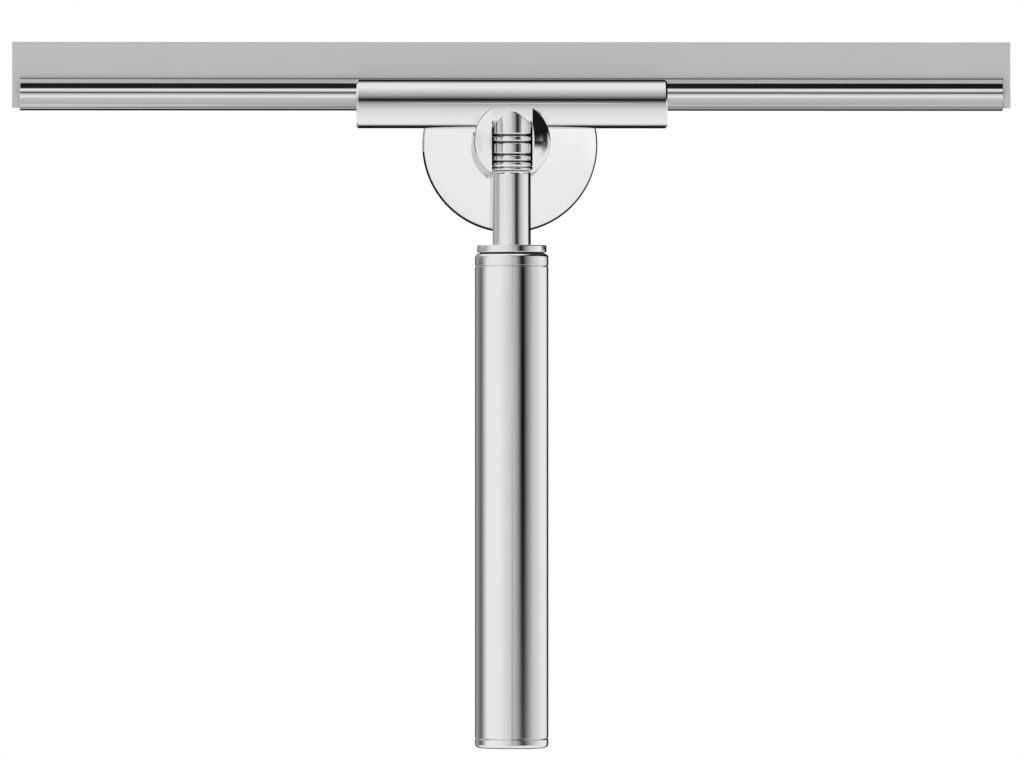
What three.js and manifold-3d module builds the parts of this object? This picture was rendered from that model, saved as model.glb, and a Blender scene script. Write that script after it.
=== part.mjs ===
// Window squeegee hanging in a wall holder. Millimetres; +X right, +Z up, -Y into the room.
// The origin is the centre of the wall plate's back, which lies on the wall plane y = 0.
import * as THREE from "three";
import { mergeVertices } from "three/addons/utils/BufferGeometryUtils.js";
import Module from "manifold-3d";

const wasm = await Module();
wasm.setup();

// ---------------- driving dimensions ----------------
const GAP = 0.3; // between pieces that only pass or rest on each other
const SNUG = 0.1; // between pieces that locate or thread into each other

const POST_R = 13; // round bar that carries the squeegee, at its front
const POST_TAPER = 1.5; // it is this much slimmer in radius at the wall end
const POST_LIP = 3.6; // metal left in front of the saddle
const POST_DOME_R = 30; // crown of the post's front face
const POST_EDGE = 1.7; // chamfer round the front face

const HEAD_R = 8.3; // round bar that grips the rail
const HEAD_LENGTH = 105.7;
const HEAD_Y = -42; // its axis in front of the wall
const HEAD_Z = POST_R - 0.19; // its axis over the post's axis

const BLADE_LENGTH = 340;
const BLADE_OVERHANG = 2.6; // rubber past each end of the rail
const BLADE_RISE = 20.8; // wiping edge above the rail's own zero
const BLADE_HALF = 1.1; // half the wiping strip's thickness
const RAIL_LENGTH = BLADE_LENGTH - 2 * BLADE_OVERHANG;
const RAIL_BACK = 1.4; // the rail's own zero behind the head's axis
const RAIL_UP = 0.32; // and above it

const NECK_R = 6.5;
const SLEEVE_R = NECK_R + 1.43; // ringed sleeve, wider than the holder's slot
const SLEEVE_BOTTOM = -HEAD_R - 13.38; // below the head's axis
const NECK_WASHER_H = 0.9;
const NECK_LENGTH = 25.3;

const SPINDLE_R = 2.9; // rod that draws head, neck and handle together
const SPINDLE_TAIL = 2.5; // rod past its nut

const HANDLE_R = 12.5;
const HANDLE_LENGTH = 168.4;
const HANDLE_WALL = 1.4;
const TOP_CAP_H = 4.4;
const BOTTOM_CAP_H = 3.2;
const COLLAR_R = HANDLE_R - 0.65;
const COLLAR_H = 2.4;
const O_RING_R = 0.9; // half the thickness of the cord

const ROSETTE_R = 30.3;
const ROSETTE_DEPTH = 9;
const ROSETTE_DRAFT = 0.6; // its side leans in by this much
const ROSETTE_WALL = 2.5;
const ROSETTE_RIM = 3;
const PLATE_T = 5;

// ---------------- shared tools ----------------

// A profile of [radius, height] points turned about Z; it closes on itself or along the axis.
function turned(profile, segments = 40) {
  let area = 0;
  profile.forEach(([r, h], i) => {
    const [r2, h2] = profile[(i + 1) % profile.length];
    area += r * h2 - r2 * h;
  });
  const run = area > 0 ? [...profile] : [...profile].reverse();
  const hollow = run.every(([r]) => r > 0);
  if (hollow) run.push(run[0]);
  else while (run[0][0] > 0 || run.at(-1)[0] > 0) run.push(run.shift());
  const points = run.map(([r, h]) => new THREE.Vector2(r, h));
  return new THREE.LatheGeometry(points, segments).rotateX(Math.PI / 2);
}

// A straight ring or, with no inner radius, a disc.
function ring(outer, inner, low, high, segments = 40) {
  return inner
    ? turned([[inner, low], [outer, low], [outer, high], [inner, high]], segments)
    : turned([[0, low], [outer, low], [outer, high], [0, high]], segments);
}

// A [y, z] outline drawn out along X, centred on x = 0.
function drawn(outline, length) {
  const shape = new THREE.Shape(outline.map(([y, z]) => new THREE.Vector2(y, z)));
  const turn = new THREE.Matrix4().makeBasis(
    new THREE.Vector3(0, 1, 0),
    new THREE.Vector3(0, 0, 1),
    new THREE.Vector3(1, 0, 0),
  );
  return new THREE.ExtrudeGeometry(shape, { depth: length, bevelEnabled: false })
    .translate(0, 0, -length / 2)
    .applyMatrix4(turn);
}

// Both halves of an outline that is the same on each side of y = 0, from its right half.
function bothSides(right) {
  return [...right, ...right.map(([y, z]) => [-y, z]).reverse()];
}

function box(x0, x1, y0, y1, z0, z1) {
  return new THREE.BoxGeometry(x1 - x0, y1 - y0, z1 - z0)
    .translate((x0 + x1) / 2, (y0 + y1) / 2, (z0 + z1) / 2);
}

// Turns a geometry made along Z so that its +Z end faces the room, -Y.
const facingOut = (geometry) => geometry.rotateX(Math.PI / 2);

function solid(geometry) {
  const bare = geometry.clone();
  bare.deleteAttribute("normal");
  bare.deleteAttribute("uv");
  const merged = mergeVertices(bare, 1e-4);
  const index = [];
  for (let i = 0; i < merged.index.count; i += 3) {
    const [a, b, c] = [0, 1, 2].map((k) => merged.index.getX(i + k));
    if (a !== b && b !== c && a !== c) index.push(a, b, c);
  }
  return new wasm.Manifold(
    new wasm.Mesh({
      numProp: 3,
      vertProperties: new Float32Array(merged.attributes.position.array),
      triVerts: new Uint32Array(index),
    }),
  );
}

// The first geometry with the others taken away.
function cut(from, ...tools) {
  const made = tools.reduce((rest, tool) => rest.subtract(solid(tool)), solid(from));
  const mesh = made.getMesh();
  return new THREE.BufferGeometry()
    .setAttribute("position", new THREE.BufferAttribute(new Float32Array(mesh.vertProperties), 3))
    .setIndex(new THREE.BufferAttribute(new Uint32Array(mesh.triVerts), 1));
}

const LOOKS = {
  chrome: { color: 0xe2e4e6, roughness: 0.06, metalness: 1 },
  steel: { color: 0xa9acb0, roughness: 0.35, metalness: 1 },
  brass: { color: 0xb99a56, roughness: 0.35, metalness: 1 },
  blade: { color: 0xb4b4b5, roughness: 0.6, metalness: 0 },
  seal: { color: 0x1c1c1e, roughness: 0.7, metalness: 0 },
  pad: { color: 0x9b9da0, roughness: 0.5, metalness: 0 },
};

const root = new THREE.Group();
const holder = new THREE.Group();
const squeegee = new THREE.Group();
squeegee.position.set(0, HEAD_Y, HEAD_Z); // its own zero is the head's axis
root.add(holder, squeegee);

function place(group, name, look, geometry) {
  const made = new THREE.Mesh(geometry, new THREE.MeshStandardMaterial(LOOKS[look]));
  made.name = name;
  group.add(made);
}

// ---------------- wall plate, rosette and their set screw ----------------
const PLATE_R = ROSETTE_R - ROSETTE_RIM - GAP;
const PLATE_RECESS = 2; // room for the post screw's head
const SET_SCREW_R = 1.5;
const SET_SCREW_Y = -2.9;
const SET_SCREW_TIP = PLATE_R - 1.2;

function wallPlate() {
  const disc = facingOut(turned([
    [0, 0], [PLATE_R, 0], [PLATE_R, PLATE_T - 0.5], [PLATE_R - 0.5, PLATE_T],
    [11, PLATE_T], [10, PLATE_T - PLATE_RECESS], [0, PLATE_T - PLATE_RECESS],
  ]));
  const tools = [];
  for (const side of [-1, 1]) {
    const shank = facingOut(ring(2.25, 0, -1, PLATE_T + 1, 24));
    const sink = facingOut(turned([[0, 2], [2.25, 2], [4.9, PLATE_T + 0.4], [0, PLATE_T + 0.4]], 24));
    tools.push(shank.translate(side * 18, 0, 0), sink.translate(side * 18, 0, 0));
  }
  const seat = turned([[0, -PLATE_R - 1], [SET_SCREW_R + 0.25, -PLATE_R - 1],
    [SET_SCREW_R + 0.25, -SET_SCREW_TIP], [0, 1.2 - SET_SCREW_TIP]], 20);
  tools.push(seat.translate(0, SET_SCREW_Y, 0));
  return cut(disc, ...tools);
}

function rosette() {
  const inside = ROSETTE_DEPTH - ROSETTE_WALL;
  const front = ROSETTE_R - ROSETTE_DRAFT;
  const cup = facingOut(turned([
    [POST_SPIGOT_R + SNUG, inside], [ROSETTE_R - ROSETTE_RIM, inside], [ROSETTE_R - ROSETTE_RIM, GAP],
    [ROSETTE_R, GAP], [front, ROSETTE_DEPTH - 0.4], [front - 0.12, ROSETTE_DEPTH - 0.12],
    [front - 0.4, ROSETTE_DEPTH], [POST_SPIGOT_R + SNUG, ROSETTE_DEPTH],
  ], 72));
  const tapped = ring(SET_SCREW_R + SNUG, 0, -ROSETTE_R - 1, 2 - ROSETTE_R + ROSETTE_RIM, 20);
  const pinHole = facingOut(ring(PIN_R + SNUG, 0, inside - 1, ROSETTE_DEPTH + 1, 16));
  return cut(cup, tapped.translate(0, SET_SCREW_Y, 0), pinHole.translate(0, 0, PIN_Z));
}

function setScrew() {
  const body = turned([
    [0, 1 - SET_SCREW_TIP], [SET_SCREW_R, -SET_SCREW_TIP - GAP], [SET_SCREW_R, 0.4 - ROSETTE_R],
    [0, 0.4 - ROSETTE_R],
  ], 20);
  const socket = new THREE.CylinderGeometry(0.85, 0.85, 2, 6).rotateX(Math.PI / 2);
  return cut(body, socket.translate(0, 0, -ROSETTE_R + 0.9)).translate(0, SET_SCREW_Y, 0);
}

// ---------------- post with saddle, bore and slot ----------------
const POST_SPIGOT_R = 5;
const POST_FRONT = -HEAD_Y + HEAD_R + GAP + POST_LIP; // distance of its crown from the wall
const SLOT_HALF = NECK_R + 0.4; // lets the neck in, but not the sleeve
const SLOT_CHAMFER = 0.5;
const SADDLE_R = HEAD_R + GAP;
const BORE_R = SLEEVE_R + GAP + 0.1;
const PIN_R = 1.25;
const PIN_Z = 9;
const SCREW_R = 3;
const SCREW_DEPTH = 13; // tapped hole in the post's back
const PAD_T = 0.65;
const PAD_ANGLE = 0.36; // half the arc that a saddle pad covers

function post() {
  const back = ROSETTE_DEPTH + 0.05;
  const edge = POST_R - POST_EDGE;
  const crown = (r) => POST_FRONT - (POST_DOME_R - Math.sqrt(POST_DOME_R ** 2 - r * r));
  const face = [0, 4, 7, 9.5].map((r) => [r, crown(r)]);
  const bar = facingOut(turned([
    [0, back - 2.3], [POST_SPIGOT_R, back - 2.3], [POST_SPIGOT_R, back],
    [POST_R - POST_TAPER, back],
    [POST_R, crown(edge) - POST_EDGE], [POST_R - 0.35, crown(edge) - 0.85],
    [edge + 0.5, crown(edge) - 0.18], [edge, crown(edge)], ...face.reverse(),
  ], 56));
  const high = POST_R + 2;
  const saddle = ring(SADDLE_R, 0, -high, high, 56).rotateY(Math.PI / 2).translate(0, HEAD_Y, HEAD_Z);
  const above = box(-high, high, HEAD_Y - SADDLE_R, HEAD_Y + SADDLE_R, HEAD_Z, HEAD_Z + 9);
  const bore = ring(BORE_R, 0, -high, high, 48).translate(0, HEAD_Y, 0);
  const slot = box(-SLOT_HALF, SLOT_HALF, -POST_FRONT - 1, HEAD_Y, -high, high);
  const screwHole = facingOut(ring(SCREW_R + SNUG, 0, 0, back + SCREW_DEPTH, 24));
  const pinHole = facingOut(ring(PIN_R + SNUG, 0, back - 1, back + 6, 16)).translate(0, 0, PIN_Z);
  const tools = [saddle, above, bore, slot, screwHole, pinHole];
  for (const side of [-1, 1]) {
    const depth = crown(SLOT_HALF + SLOT_CHAMFER);
    const wedge = new THREE.Shape([
      new THREE.Vector2(side * (SLOT_HALF - 0.5), -depth - 1.2),
      new THREE.Vector2(side * (SLOT_HALF + SLOT_CHAMFER + 1.2), -depth - 1.2),
      new THREE.Vector2(side * (SLOT_HALF - 0.5), -depth + SLOT_CHAMFER + 0.5),
    ]);
    tools.push(new THREE.ExtrudeGeometry(wedge, { depth: 2 * high, bevelEnabled: false })
      .translate(0, 0, -high));
    tools.push(padBody(side, SNUG, PAD_ANGLE + 0.01, high));
  }
  return cut(bar, ...tools);
}

// An arc-shaped strip under the head bar, widened by `spare`, reaching out to `reach` along X.
function padBody(side, spare, angle, reach) {
  const inner = HEAD_R + 0.05 - (spare ? 1 : 0);
  const outer = HEAD_R + 0.05 + PAD_T + spare;
  const arc = (r, from, to) => Array.from({ length: 9 }, (_, i) => {
    const a = -Math.PI / 2 + from + ((to - from) * i) / 8;
    return [r * Math.cos(a), r * Math.sin(a)];
  });
  const start = BORE_R + 0.1 - (spare ? 1 : 0);
  return drawn([...arc(outer, -angle, angle), ...arc(inner, angle, -angle)], reach - start)
    .translate((side * (start + reach)) / 2, HEAD_Y, HEAD_Z);
}

function saddlePad(side) {
  const reach = POST_R - 0.6;
  return padBody(side, 0, PAD_ANGLE, reach);
}

function postScrew() {
  const seat = ROSETTE_DEPTH - ROSETTE_WALL - LOCK_WASHER_T;
  const head = facingOut(turned([
    [0, seat - 2.2], [4.6, seat - 2.2], [5.2, seat - 1.6], [5.2, seat - 0.05], [SCREW_R, seat - 0.05],
    [SCREW_R, seat + 15], [0, seat + 15.8],
  ], 28));
  const socket = new THREE.CylinderGeometry(2.3, 2.3, 2.6, 6).rotateX(Math.PI / 2);
  return cut(head, facingOut(socket).translate(0, -seat + 2.2, 0));
}

const LOCK_WASHER_T = 0.8;
function lockWasher() {
  const high = ROSETTE_DEPTH - ROSETTE_WALL - 0.02;
  return facingOut(ring(6.6, SCREW_R + 0.2, high - LOCK_WASHER_T + 0.04, high, 28));
}

function postPin() {
  const low = ROSETTE_DEPTH - ROSETTE_WALL + 0.1;
  return facingOut(turned([
    [0, low], [PIN_R - 0.2, low], [PIN_R, low + 0.2], [PIN_R, low + 7.4], [PIN_R - 0.2, low + 7.6],
    [0, low + 7.6],
  ], 16)).translate(0, 0, PIN_Z);
}

// ---------------- rubber and rail, about the rail's own zero ----------------
const RAIL_TOP = 8.6;
const RAIL_FLOOR = -2.5;
const LIP_HALF = BLADE_HALF + 0.2; // inner face of the folded lips
const BEAD_HALF = 2.2; // half the thickness of the rubber's foot

function wiperRubber() {
  return drawn(bothSides([
    [BEAD_HALF - 0.3, -1.58], [BEAD_HALF, -1.28], [BEAD_HALF, 2.7], [BEAD_HALF - 0.25, 3.05],
    [BLADE_HALF, 4.1], [BLADE_HALF, BLADE_RISE],
  ]), BLADE_LENGTH).translate(0, RAIL_BACK, RAIL_UP);
}

function bladeRail() {
  const lip = LIP_HALF + 1.05;
  const shoulder = [71, 51, 31, 11, -9, -29].map((deg) => {
    const a = (deg * Math.PI) / 180;
    return [BEAD_HALF - 0.64 + 1.95 * Math.cos(a), 3.23 + 1.95 * Math.sin(a)];
  });
  const outside = [
    [LIP_HALF, RAIL_TOP - 0.3], [LIP_HALF + 0.2, RAIL_TOP], [lip - 0.35, RAIL_TOP],
    [lip - 0.1, RAIL_TOP - 0.1], [lip, RAIL_TOP - 0.35], [lip - 0.03, 7], [lip - 0.15, 6.78],
    [LIP_HALF + 0.68, 6.75], [LIP_HALF + 0.88, 5.1], ...shoulder,
    [BEAD_HALF + 0.83, 1.6], [BEAD_HALF + 0.66, 0.4], [BEAD_HALF + 0.6, -0.8],
    [BEAD_HALF + 0.62, -2], [BEAD_HALF - 0.5, RAIL_FLOOR],
  ];
  const inside = [
    [LIP_HALF, 4.4], [BEAD_HALF + 0.25, 2.9], [BEAD_HALF + 0.25, -1.6], [BEAD_HALF, -1.9],
  ];
  const right = [...inside.reverse(), ...outside];
  const left = right.map(([y, z]) => [-y, z]).reverse();
  // The outline runs up the right wall's inside and down its outside, then the same on the left.
  const rail = drawn([...right, ...left], RAIL_LENGTH);
  const tools = [];
  for (const side of [-1, 1]) {
    const corner = box(-1.2, 1.2, -8, 8, -0.9, 0.9).rotateY((side * Math.PI) / 4);
    tools.push(corner.translate(side * (RAIL_LENGTH / 2 + 0.7), 0, RAIL_TOP + 0.7));
  }
  return cut(rail, ...tools).translate(0, RAIL_BACK, RAIL_UP);
}

// ---------------- head bar ----------------

function headBar() {
  const half = HEAD_LENGTH / 2;
  const bar = turned([
    [0, -half], [HEAD_R - 0.6, -half], [HEAD_R, -half + 0.6], [HEAD_R, half - 0.6],
    [HEAD_R - 0.6, half], [0, half],
  ], 64).rotateY(Math.PI / 2);
  const lip = LIP_HALF + 1.05 + 0.25;
  const groove = drawn(bothSides([
    [BEAD_HALF + 0.7, RAIL_FLOOR - GAP], [BEAD_HALF + 1.25, RAIL_FLOOR + 0.2],
    [BEAD_HALF + 1.25, 1.5], [BEAD_HALF + 1.6, 1.9], [BEAD_HALF + 1.6, 4.6], [lip, 5.5],
    [lip, HEAD_R + 2],
  ]), HEAD_LENGTH + 4).translate(0, RAIL_BACK, RAIL_UP);
  const bore = ring(SPINDLE_R + SNUG, 0, -HEAD_R - 1, RAIL_FLOOR + 1, 24);
  return cut(bar, groove, bore);
}

// ---------------- clamp spindle and its pad, nut and washers ----------------
const SPINDLE_TOP = RAIL_FLOOR - 1.8;

function clampPad() {
  return ring(SPINDLE_R - 0.1, 0, SPINDLE_TOP + 0.1, RAIL_FLOOR + RAIL_UP - 0.1, 24);
}

function clampSpindle() {
  const low = NUT_TOP - NUT_H - SPINDLE_TAIL;
  return turned([
    [0, low], [SPINDLE_R - 0.5, low], [SPINDLE_R, low + 0.5], [SPINDLE_R, SPINDLE_TOP - 0.4],
    [SPINDLE_R - 0.4, SPINDLE_TOP], [0, SPINDLE_TOP],
  ], 24);
}

// ---------------- neck ----------------
const PASS_R = SPINDLE_R + GAP; // hole that the spindle passes through

// Ringed sleeve, coped to sit against the underside of the head bar.
function neckSleeve() {
  const b = SLEEVE_BOTTOM;
  const dip = SLEEVE_R - 0.75;
  const soft = 0.35;
  const profile = [[PASS_R, b], [SLEEVE_R - 0.6, b], [SLEEVE_R, b + 0.5], [SLEEVE_R, b + 1.3]];
  // Narrow rounded beads and wide rings alternate between the turned grooves.
  const grooves = [[1.75, 2.2], [4.05, 4.6], [8.25, 8.8], [10.6, 11.2]];
  for (const [low, high] of grooves) {
    profile.push([SLEEVE_R - 0.12, b + low - soft], [dip, b + low], [dip, b + high]);
    profile.push([SLEEVE_R - 0.12, b + high + soft]);
  }
  profile.push([SLEEVE_R, b + 11.9], [SLEEVE_R, 0], [PASS_R, 0]);
  const cope = ring(HEAD_R + 0.04, 0, -12, 12, 96).rotateY(Math.PI / 2);
  return cut(turned(profile, 40), cope, box(-9, 9, -9, 9, -2, 9));
}

const WASHER_TOP = SLEEVE_BOTTOM - 0.1;
function neckWasher() {
  const low = WASHER_TOP - NECK_WASHER_H;
  const r = SLEEVE_R - 0.1;
  return turned([
    [PASS_R, low], [r - 0.25, low], [r, low + 0.25], [r, WASHER_TOP - 0.25],
    [r - 0.25, WASHER_TOP], [PASS_R, WASHER_TOP],
  ]);
}

const NECK_TOP = WASHER_TOP - NECK_WASHER_H - 0.1;
const NECK_BOTTOM = NECK_TOP - NECK_LENGTH;
function neckTube() {
  return turned([
    [PASS_R, NECK_BOTTOM], [NECK_R, NECK_BOTTOM], [NECK_R, NECK_TOP - 0.9], [NECK_R - 0.3, NECK_TOP - 0.3],
    [NECK_R - 1, NECK_TOP], [PASS_R, NECK_TOP],
  ]);
}

// ---------------- handle ----------------
const COLLAR_TOP = NECK_BOTTOM - 0.05;
const CAP_TOP = COLLAR_TOP - COLLAR_H - 0.25;
const TUBE_TOP = CAP_TOP - TOP_CAP_H;
const HANDLE_END = CAP_TOP - HANDLE_LENGTH;
const TUBE_END = HANDLE_END + BOTTOM_CAP_H;
const TUBE_BORE = HANDLE_R - HANDLE_WALL;
const SPIGOT_R = TUBE_BORE - SNUG;
const SPIGOT_H = 11;
const O_RING_SEAT = SPIGOT_R - 1.5;
const JOINT_BEVEL = 0.3;
const JOINT_GAP = 0.05;

function handleCollar() {
  const low = COLLAR_TOP - COLLAR_H;
  return turned([
    [PASS_R, low], [COLLAR_R - 0.25, low], [COLLAR_R, low + 0.25], [COLLAR_R, COLLAR_TOP - 0.3],
    [COLLAR_R - 0.3, COLLAR_TOP], [PASS_R, COLLAR_TOP],
  ], 48);
}

// Flat seal between collar and cap, set back from the outside.
function collarSeal() {
  return ring(COLLAR_R - 0.9, PASS_R, CAP_TOP + 0.03, COLLAR_TOP - COLLAR_H - 0.03, 36);
}

// Outline of a spigot with an O-ring groove, from the tube's mouth at z = 0 down to z = -SPIGOT_H.
const spigot = [
  [SPIGOT_R, 0], [SPIGOT_R, -4], [O_RING_SEAT, -4], [O_RING_SEAT, -6.2], [SPIGOT_R, -6.2],
  [SPIGOT_R, -SPIGOT_H + 0.6], [SPIGOT_R - 0.6, -SPIGOT_H],
];

function handleTopCap() {
  return turned([
    [SPINDLE_R + SNUG, CAP_TOP], [HANDLE_R - 1.6, CAP_TOP], [HANDLE_R - 0.5, CAP_TOP - 0.45],
    [HANDLE_R, CAP_TOP - 1], [HANDLE_R, TUBE_TOP + JOINT_GAP + JOINT_BEVEL],
    [HANDLE_R - JOINT_BEVEL, TUBE_TOP + JOINT_GAP],
    ...spigot.map(([r, z]) => [r, TUBE_TOP + JOINT_GAP + z]),
    [SPINDLE_R + SNUG, TUBE_TOP + JOINT_GAP - SPIGOT_H],
  ], 48);
}

function handleTube() {
  return turned([
    [TUBE_BORE, TUBE_END], [HANDLE_R - JOINT_BEVEL, TUBE_END], [HANDLE_R, TUBE_END + JOINT_BEVEL],
    [HANDLE_R, TUBE_TOP - JOINT_BEVEL], [HANDLE_R - JOINT_BEVEL, TUBE_TOP], [TUBE_BORE, TUBE_TOP],
  ], 48);
}

function handleBottomCap() {
  const base = TUBE_END - JOINT_GAP;
  return turned([
    [0, HANDLE_END], [HANDLE_R - 1.2, HANDLE_END], [HANDLE_R - 0.35, HANDLE_END + 0.35],
    [HANDLE_R, HANDLE_END + 1.1], [HANDLE_R, base - JOINT_BEVEL], [HANDLE_R - JOINT_BEVEL, base],
    ...spigot.map(([r, z]) => [r, base - z]),
    [SPIGOT_R - 3, base + SPIGOT_H], [SPIGOT_R - 3, base + 1.5], [0, base + 1.5],
  ], 48);
}

// O-ring in a spigot's groove, flattened a little by the tube.
function oRing(middle) {
  const centre = (O_RING_SEAT + TUBE_BORE) / 2;
  const squeeze = (TUBE_BORE - O_RING_SEAT) / 2 - 0.05;
  const section = Array.from({ length: 10 }, (_, i) => {
    const a = (i / 10) * 2 * Math.PI;
    return [centre + squeeze * Math.cos(a), middle + O_RING_R * Math.sin(a)];
  });
  return turned(section, 36);
}

const NUT_FLATS = 10;
const NUT_H = 5;
const FLAT_WASHER_T = 1.2;
const SPRING_WASHER_T = 1.5;
const STACK_TOP = TUBE_TOP + JOINT_GAP - SPIGOT_H - 0.05;
const NUT_TOP = STACK_TOP - FLAT_WASHER_T - SPRING_WASHER_T - 0.1;

function flatWasher() {
  return ring(7.5, SPINDLE_R + 0.15, STACK_TOP - FLAT_WASHER_T, STACK_TOP, 32);
}

// Split spring washer: a ring with a slanting cut.
function springWasher() {
  const top = STACK_TOP - FLAT_WASHER_T - 0.05;
  const whole = ring(5.2, SPINDLE_R + 0.15, top - SPRING_WASHER_T, top, 32);
  const split = box(2, 7, -0.35, 0.35, -3, 3).rotateX(0.5);
  return cut(whole, split.translate(0, 0, top - SPRING_WASHER_T / 2));
}

function spindleNut() {
  const across = NUT_FLATS / Math.cos(Math.PI / 6) / 2;
  const hex = new THREE.CylinderGeometry(across, across, NUT_H, 6).rotateX(Math.PI / 2);
  const hole = ring(SPINDLE_R + SNUG, 0, -NUT_H, NUT_H, 24);
  return cut(hex, hole).translate(0, 0, NUT_TOP - NUT_H / 2);
}

// ---------------- assembly ----------------
place(holder, "wall_plate", "steel", wallPlate());
place(holder, "rosette", "chrome", rosette());
place(holder, "rosette_set_screw", "steel", setScrew());
place(holder, "post", "chrome", post());
place(holder, "post_screw", "steel", postScrew());
place(holder, "post_lock_washer", "steel", lockWasher());
place(holder, "post_pin", "steel", postPin());
for (const [side, name] of [[-1, "left"], [1, "right"]]) {
  place(holder, "saddle_pad_" + name, "pad", saddlePad(side));
}

place(squeegee, "wiper_rubber", "blade", wiperRubber());
place(squeegee, "blade_rail", "chrome", bladeRail());
place(squeegee, "head_bar", "chrome", headBar());
place(squeegee, "clamp_pad", "brass", clampPad());
place(squeegee, "clamp_spindle", "steel", clampSpindle());
place(squeegee, "neck_sleeve", "chrome", neckSleeve());
place(squeegee, "neck_washer", "chrome", neckWasher());
place(squeegee, "neck_tube", "chrome", neckTube());
place(squeegee, "handle_collar", "chrome", handleCollar());
place(squeegee, "collar_seal", "seal", collarSeal());
place(squeegee, "handle_top_cap", "chrome", handleTopCap());
place(squeegee, "handle_tube", "chrome", handleTube());
place(squeegee, "handle_bottom_cap", "chrome", handleBottomCap());
place(squeegee, "top_o_ring", "seal", oRing(TUBE_TOP + JOINT_GAP - 5.1));
place(squeegee, "bottom_o_ring", "seal", oRing(TUBE_END - JOINT_GAP + 5.1));
place(squeegee, "flat_washer", "steel", flatWasher());
place(squeegee, "spring_washer", "steel", springWasher());
place(squeegee, "spindle_nut", "brass", spindleNut());

export default root;
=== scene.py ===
import math

import bmesh
import bpy
import numpy as np
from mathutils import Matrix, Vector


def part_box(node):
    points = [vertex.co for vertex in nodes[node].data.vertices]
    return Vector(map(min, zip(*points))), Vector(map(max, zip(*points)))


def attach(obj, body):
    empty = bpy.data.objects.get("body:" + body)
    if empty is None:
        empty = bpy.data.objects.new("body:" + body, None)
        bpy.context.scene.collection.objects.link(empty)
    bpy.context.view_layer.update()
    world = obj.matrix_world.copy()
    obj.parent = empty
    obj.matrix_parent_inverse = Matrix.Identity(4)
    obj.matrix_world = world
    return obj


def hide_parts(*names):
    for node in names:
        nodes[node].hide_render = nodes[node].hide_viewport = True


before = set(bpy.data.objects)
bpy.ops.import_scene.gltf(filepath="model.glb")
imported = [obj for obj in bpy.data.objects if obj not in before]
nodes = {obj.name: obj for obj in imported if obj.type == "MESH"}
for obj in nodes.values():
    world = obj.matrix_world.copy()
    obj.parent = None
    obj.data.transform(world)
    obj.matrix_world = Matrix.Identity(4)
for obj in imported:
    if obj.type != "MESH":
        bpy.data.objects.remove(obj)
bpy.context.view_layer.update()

# ---------------------------------------------------------------------------
# Camera, floor and studio. The squeegee is seen straight from the front through
# a long lens; a white room with soft panels and dark gaps shows in its chrome.
# ---------------------------------------------------------------------------
MM = 0.001
camera_data = bpy.data.cameras.new("camera")
camera = bpy.data.objects.new("camera", camera_data)
bpy.context.scene.collection.objects.link(camera)
bpy.context.scene.camera = camera
camera_data.sensor_width = 36
camera_data.lens = 292.2
camera_data.clip_end = 20
camera.location = (-0.0456, -2.872, -0.081)
CAMERA_YAW = 0.925  # degrees to the right of the wall's own normal
camera.rotation_euler = (math.radians(90), 0, -math.radians(CAMERA_YAW))

FLOOR_SIDE, FLOOR_FRONT, FLOOR_BACK, FLOOR_Z = 0.9, -0.9, 0.5, -0.25
floor_data = bpy.data.meshes.new("floor")
floor_data.from_pydata([(-FLOOR_SIDE, FLOOR_FRONT, FLOOR_Z), (FLOOR_SIDE, FLOOR_FRONT, FLOOR_Z),
                        (FLOOR_SIDE, FLOOR_BACK, FLOOR_Z), (-FLOOR_SIDE, FLOOR_BACK, FLOOR_Z)],
                       [], [(0, 1, 2, 3)])
floor = bpy.data.objects.new("floor", floor_data)
bpy.context.scene.collection.objects.link(floor)
floor.visible_glossy = False  # the panels below light the chrome from there
floor_finish = bpy.data.materials.new("floor_paper")
floor_finish.use_nodes = True
paper = floor_finish.node_tree.nodes["Principled BSDF"]
paper.inputs["Base Color"].default_value = (0.9, 0.9, 0.9, 1)
paper.inputs["Roughness"].default_value = 0.9
floor_data.materials.append(floor_finish)

bpy.context.scene.view_settings.view_transform = "Standard"

# The lighting plan. Each side of the room is a row of panels: the angle away from the camera's side, in
# degrees, and how bright the room is there. A flag is a black screen, and a soft box is a lit white one.
SOFT_BOX, PALE, PAPER, SHADE, DIM, FLAG = 0.88, 0.75, 0.6, 0.4, 0.15, 0.01
ROOM = {
    "right": [(0, PAPER), (15, SHADE), (30, FLAG), (38, FLAG), (70, PAPER), (110, SOFT_BOX), (135, SOFT_BOX),
              (150, FLAG), (180, FLAG)],
    "left": [(0, PAPER), (40, SOFT_BOX), (85, SOFT_BOX), (110, DIM), (120, DIM), (145, SHADE), (160, FLAG),
             (180, FLAG)],
    "up": [(0, SHADE), (15, FLAG), (20, FLAG), (40, SHADE), (80, SOFT_BOX), (110, SOFT_BOX), (135, FLAG),
           (180, FLAG)],
    "down": [(0, SHADE), (30, PALE), (80, SOFT_BOX), (110, SOFT_BOX), (130, FLAG), (180, FLAG)],
}

world = bpy.data.worlds.new("studio")
bpy.context.scene.world = world
world.use_nodes = True
room = world.node_tree
room.nodes.clear()


def sum_node(operation, *values, tree=room):
    """A Math node of the tree, with numbers or sockets as its inputs; gives its output."""
    node = tree.nodes.new("ShaderNodeMath")
    node.operation = operation
    for socket, value in zip(node.inputs, values):
        if isinstance(value, (int, float)):
            socket.default_value = value
        else:
            tree.links.new(value, socket)
    return node.outputs[0]


direction = room.nodes.new("ShaderNodeSeparateXYZ")
look = room.nodes.new("ShaderNodeTexCoord")
room.links.new(look.outputs["Generated"], direction.inputs[0])
toward_x, toward_y, toward_z = direction.outputs
away = sum_node("DIVIDE", sum_node("ARCCOSINE", sum_node("MULTIPLY", toward_y, -1.0)), math.pi)


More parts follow.
